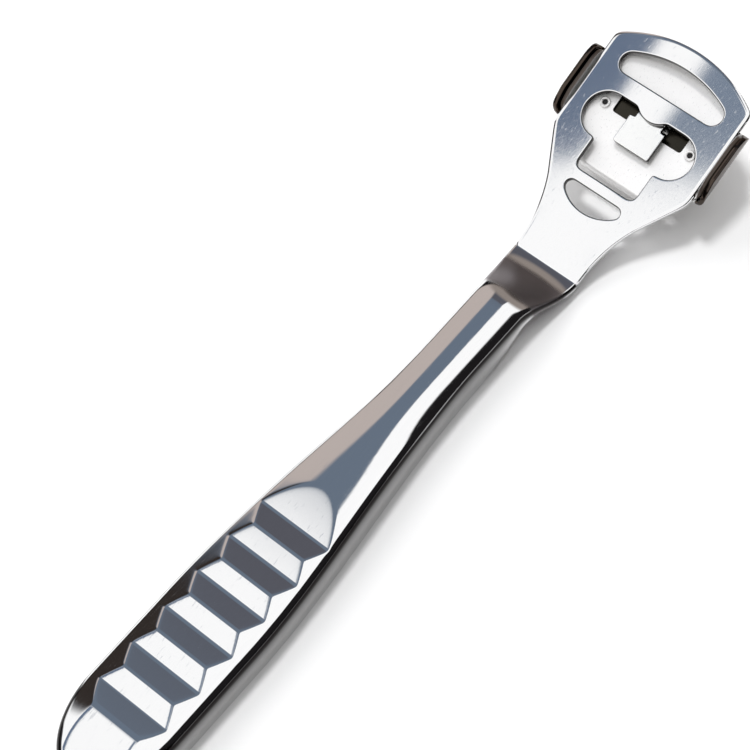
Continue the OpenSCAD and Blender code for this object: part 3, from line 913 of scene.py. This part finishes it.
def forms(scene):
    """The handle's, the head's and the stack's forms."""
    handle = HandleForm(scene.shaver_handle, scene.shaver_head)
    head = HeadForm(scene.shaver_head, handle)
    return handle, head, StackForm(scene.shaver_stack, head)


class SHAVER_OT_body(bpy.types.Operator):
    """Press the handle and the head plate from one sheet"""

    bl_idname = "shaver.body"
    bl_label = "Handle and head"

    def execute(self, context):
        handle, head, _ = forms(context.scene)
        finish = context.scene.shaver_finish
        margin, flat, end = head.FRONT_WINDOW
        windows = [
            head.bow_window(head.NOSE_RADIUS - margin, head.reach - head.NOSE_RADIUS, head.reach - flat, end),
            head.key_window(),
            head.bow_window(*head.REAR_WINDOW),
        ]
        # The windows' cut edges carry sheet_shell's painted shade.
        plate = sheet_shell(
            head.outline(),
            windows,
            head.sheet,
            head.bowed,
            roll=(head.roll, 0.3),
            hole_roll=(0.28, 0.16),
        )
        material = steel(
            "polished_sheet",
            finish.body,
            finish.gloss,
            (350.0, 5200.0),
            0.5,
            wave=WAVE_HEIGHT,
            dull_and_painted=[head.bend_y + place for place in DULL_AND_PAINTED_RAMP],
        )
        mesh_piece("pressed_body", [handle_shell(handle), plate], material, "body", 17.0)
        return {"FINISHED"}


class SHAVER_OT_holder(bpy.types.Operator):
    """Bend the holder, with its two tabs and its two eyelets"""

    bl_idname = "shaver.holder"
    bl_label = "Holder"

    def execute(self, context):
        _, head, stack = forms(context.scene)
        finish = context.scene.shaver_finish
        tabs = (stack.FLAP, stack.tab)
        outline = stack.outline(stack.lip - 0.6, 0.6, stack.FRONT_CUT, stack.REAR_CUT, tabs)
        plate = sheet_shell(
            outline,
            [rectangle(*stack.CROSS_HOLE)],
            stack.holder,
            stack.turned_down,
            roll=(0.2, 0.12),
            pitch=0.4,
        )
        parts = [plate]
        for side in (-1.0, 1.0):
            x, t = side * stack.EYELET[0], stack.EYELET[1]
            level = stack.arch_c - math.sqrt(stack.arch**2 - x * x)
            parts.append(revolved([(radius, level + height) for radius, height in stack.RIM], (x, t), head))
            # Painted shade: a dark disc fills each eyelet's hole.
            disc = arc_points(x, t, 0.56, 0.0, 345.0, 24)
            raised = functools.partial(head.raised, level + 0.12)
            points, faces, _ = sheet_shell(disc, [], 0.3, raised, roll=(0.05, 0.02), pitch=0.4)
            parts.append((points, faces, 1.0))
        material = steel(
            "satin_holder",
            finish.holder,
            finish.satin,
            (500.0, 6500.0),
            1.2,
            relief=0.4,
            dark_from=DARK_FROM,
            metal=0.4,
        )
        mesh_piece("holder_plate", parts, material, "holder", 30.0)
        return {"FINISHED"}


class SHAVER_OT_blade(bpy.types.Operator):
    """Lay the thin blade between the holder and the sole"""

    bl_idname = "shaver.blade"
    bl_label = "Blade"

    def execute(self, context):
        _, _, stack = forms(context.scene)
        finish = context.scene.shaver_finish
        outline = stack.outline(stack.end_z, 3.4, (1.6, 1.8), (1.8, 2.4))
        web = stack.hook / 2 - 0.7
        strip = sheet_shell(
            outline,
            [rectangle(-web, web, *stack.HOOK_HOLE)],
            stack.blade,
            stack.layer(stack.holder),
            roll=(0.08, 0.06),
            hole_roll=(0.08, 0.06),
            pitch=0.4,
        )
        material = steel("ground_blade", finish.blade, 0.22, (400.0, 9000.0), 1.57)
        mesh_piece("blade_strip", [strip], material, "blade", 30.0)
        return {"FINISHED"}


class SHAVER_OT_sole(bpy.types.Operator):
    """Bend the slotted sole and the square hook that comes up through the window"""

    bl_idname = "shaver.sole"
    bl_label = "Sole and hook"

    def execute(self, context):
        _, head, stack = forms(context.scene)
        finish = context.scene.shaver_finish
        half, back, gape = stack.MOUTH
        mouth = stack.CENTRE - stack.reach / 2 + back
        under = stack.holder + stack.blade
        plate = sheet_shell(
            stack.outline(stack.lip, 0.0, stack.FRONT_CUT, stack.REAR_CUT),
            [rectangle(-half, half, mouth, mouth + gape, rounds=3)],
            stack.sole,
            stack.layer(under),
            roll=(0.25, 0.15),
            pitch=0.4,
        )
        low = -stack.depth - under - 0.45
        top = -head.sheet - 0.05
        start, centre, radius = stack.HOOK_PATH
        bend = arc_points(centre, top - radius, radius, 90.0, 0.0, 10)
        path = np.concatenate([[[start, top]], bend, [[centre + radius, low]]])
        place, run = along_path(path, head)
        wide, neck = stack.hook / 2, stack.hook / 2 - 1.1
        cut, step = 0.25, 5.7
        shape = np.array([
            [cut - wide, 0.0],
            [wide - cut, 0.0],
            [wide, cut],
            [wide, step],
            [neck, step + 0.1],
            [neck, run],
            [-neck, run],
            [-neck, step + 0.1],
            [-wide, step],
            [-wide, cut],
        ])
        # Painted shade on all the hook's cut edges, for its dark outline in the window.
        hook = sheet_shell(
            resampled(shape, 0.2, 1), [], 1.0, place, roll=(0.12, 0.08), pitch=0.5, dark=(1.0, 1.0)
        )
        material = steel("polished_sole", finish.sole, 0.12, (400.0, 6000.0), 1.57, dark_from=DARK_FROM)
        mesh_piece("sole_plate", [plate, hook], material, "sole", 30.0)
        return {"FINISHED"}


def studio_light(world):
    """The studio's sky: a wide white ceiling with a darker panel, cards over the head and dark sides.

    Each area is a product of smooth steps of the direction's x, y and z. Later areas lie over earlier ones.
    """
    world.use_nodes = True
    tree = world.node_tree
    tree.nodes.clear()
    way = new_node(tree, "ShaderNodeTexCoord").outputs["Generated"]
    x, y, z = new_node(tree, "ShaderNodeSeparateXYZ", Vector=way).outputs
    edge, both = functools.partial(smooth_step, tree), functools.partial(product, tree)
    panel = both(edge(x, -0.04, -0.075), edge(y, -0.02, 0.05))
    wall = both(edge(x, -0.5, -0.57), edge(y, 0.225, 0.26))
    shade = both(edge(x, -0.53, -0.6), edge(y, -0.03, 0.04), edge(y, 0.25, 0.2))
    tail = both(edge(x, -0.62, -0.7), edge(y, -0.12, -0.18), edge(y, -0.75, -0.6), edge(z, 0.62, 0.55))
    rear = both(edge(x, -0.1, -0.25), edge(y, -0.45, -0.6), edge(z, 0.6, 0.5))
    left = both(edge(x, -0.395, -0.415), edge(x, -0.56, -0.53), edge(y, -0.183, -0.175), edge(y, 0.03, 0.0))
    right = both(edge(x, -0.33, -0.3), edge(x, -0.16, -0.2), edge(y, -0.19, -0.17), edge(y, 0.03, 0.0))
    horizon = both(edge(z, 0.19, 0.12), edge(y, -0.2, -0.1))
    areas = (
        (panel, (0.15, 0.19, 0.25)),
        (both(panel, edge(y, 0.33, 0.46)), (0.105, 0.107, 0.128)),
        (wall, (0.55, 0.48, 0.45)),
        (shade, (0.035, 0.028, 0.025)),
        (tail, (0.07, 0.065, 0.07)),
        (rear, (0.03, 0.028, 0.03)),
        (left, (0.145, 0.19, 0.275)),
        (right, (0.21, 0.26, 0.34)),
        (edge(y, 0.62, 0.76), (0.3, 0.26, 0.235)),
        (edge(y, 0.84, 0.92), (0.05, 0.042, 0.038)),
        (edge(x, 0.37, 0.43), (0.012, 0.011, 0.012)),
        (horizon, (0.012, 0.011, 0.012)),
    )
    tone = (1.12, 1.12, 1.12)
    for mask, hue in areas:
        tone = mixed(tree, tone, mask, hue)
    light = new_node(tree, "ShaderNodeBackground", Color=tone, Strength=1.0)
    new_node(tree, "ShaderNodeOutputWorld", Surface=light.outputs["Background"])


# Stage. Lengths are in metres, and each light has a name, a strength, a spread in degrees and a direction.

FLOOR_HALF = 3.0
FLOOR_LEVEL = -0.00003
LIGHTS = (
    ("key", 1.5, 55, (0.78, -0.2, -0.6)),
    ("top", 1.6, 12, (0.22, -0.2, -1.0)),
)


class SHAVER_OT_stage(bpy.types.Operator):
    """Set up the floor, the light and the camera"""

    bl_idname = "shaver.stage"
    bl_label = "Floor, light and camera"

    def execute(self, context):
        scene = context.scene
        stage = scene.shaver_stage
        floor_mesh = bpy.data.meshes.new("floor")
        corners = np.array([[-1, -1], [1, -1], [1, 1], [-1, 1]]) * FLOOR_HALF
        floor_mesh.from_pydata([(x, y, FLOOR_LEVEL) for x, y in corners], [], [(0, 1, 2, 3)])
        floor = bpy.data.objects.new("floor", floor_mesh)
        scene.collection.objects.link(floor)
        paint = bpy.data.materials.new("floor_paper")
        paint.use_nodes = True
        shader = paint.node_tree.nodes["Principled BSDF"]
        shader.inputs["Base Color"].default_value = (*stage.floor, 1.0)
        shader.inputs["Roughness"].default_value = 0.9
        shader.inputs["Specular IOR Level"].default_value = 0.1
        floor_mesh.materials.append(paint)

        world = bpy.data.worlds.new("studio")
        scene.world = world
        studio_light(world)

        for name, energy, spread, way in LIGHTS:
            lamp = bpy.data.lights.new(name, "SUN")
            lamp.energy = energy
            lamp.angle = math.radians(spread)
            light = bpy.data.objects.new(name, lamp)
            scene.collection.objects.link(light)
            light.rotation_mode = "QUATERNION"
            light.rotation_quaternion = Vector(way).to_track_quat("-Z", "Y")
            light.visible_glossy = False

        camera_data = bpy.data.cameras.new("camera")
        camera_data.lens = stage.lens
        camera_data.clip_start = 0.01
        camera_data.clip_end = 10.0
        camera = bpy.data.objects.new("camera", camera_data)
        scene.collection.objects.link(camera)
        camera.location = stage.eye
        view = Vector(stage.aim) - Vector(stage.eye)
        camera.rotation_mode = "QUATERNION"
        camera.rotation_quaternion = view.to_track_quat("-Z", "Y") @ Quaternion((0.0, 0.0, 1.0), stage.roll)
        scene.camera = camera
        scene.view_settings.view_transform = "Standard"
        return {"FINISHED"}


STEPS = (SHAVER_OT_body, SHAVER_OT_holder, SHAVER_OT_blade, SHAVER_OT_sole, SHAVER_OT_stage)
GROUPS = {
    "shaver_head": ShaverHead,
    "shaver_handle": ShaverHandle,
    "shaver_stack": ShaverStack,
    "shaver_finish": ShaverFinish,
    "shaver_stage": ShaverStage,
}


class SHAVER_PT_panel(bpy.types.Panel):
    """The steps that build the shaver, and the sizes and colours that they use"""

    bl_idname = "SHAVER_PT_panel"
    bl_label = "Callus shaver"
    bl_space_type = "VIEW_3D"
    bl_region_type = "UI"
    bl_category = "Callus shaver"

    def draw(self, context):
        for step in STEPS:
            self.layout.operator(step.bl_idname)
        for name, group in GROUPS.items():
            box = self.layout.box()
            box.label(text=group.__doc__.split(".")[0])
            for field in group.__annotations__:
                box.prop(getattr(context.scene, name), field)


def register():
    """Registers the classes and hangs the sizes on the scene."""
    for group in GROUPS.values():
        bpy.utils.register_class(group)
    for step in STEPS:
        bpy.utils.register_class(step)
    bpy.utils.register_class(SHAVER_PT_panel)
    for name, group in GROUPS.items():
        setattr(bpy.types.Scene, name, bpy.props.PointerProperty(type=group))


def unregister():
    """Takes the sizes off the scene and unregisters the classes."""
    for name in GROUPS:
        delattr(bpy.types.Scene, name)
    bpy.utils.unregister_class(SHAVER_PT_panel)
    for step in reversed(STEPS):
        bpy.utils.unregister_class(step)
    for group in reversed(GROUPS.values()):
        bpy.utils.unregister_class(group)


def main():
    """Builds everything in order."""
    register()
    bpy.ops.shaver.body()
    bpy.ops.shaver.holder()
    bpy.ops.shaver.blade()
    bpy.ops.shaver.sole()
    bpy.ops.shaver.stage()


if __name__ == "__main__":
    main()
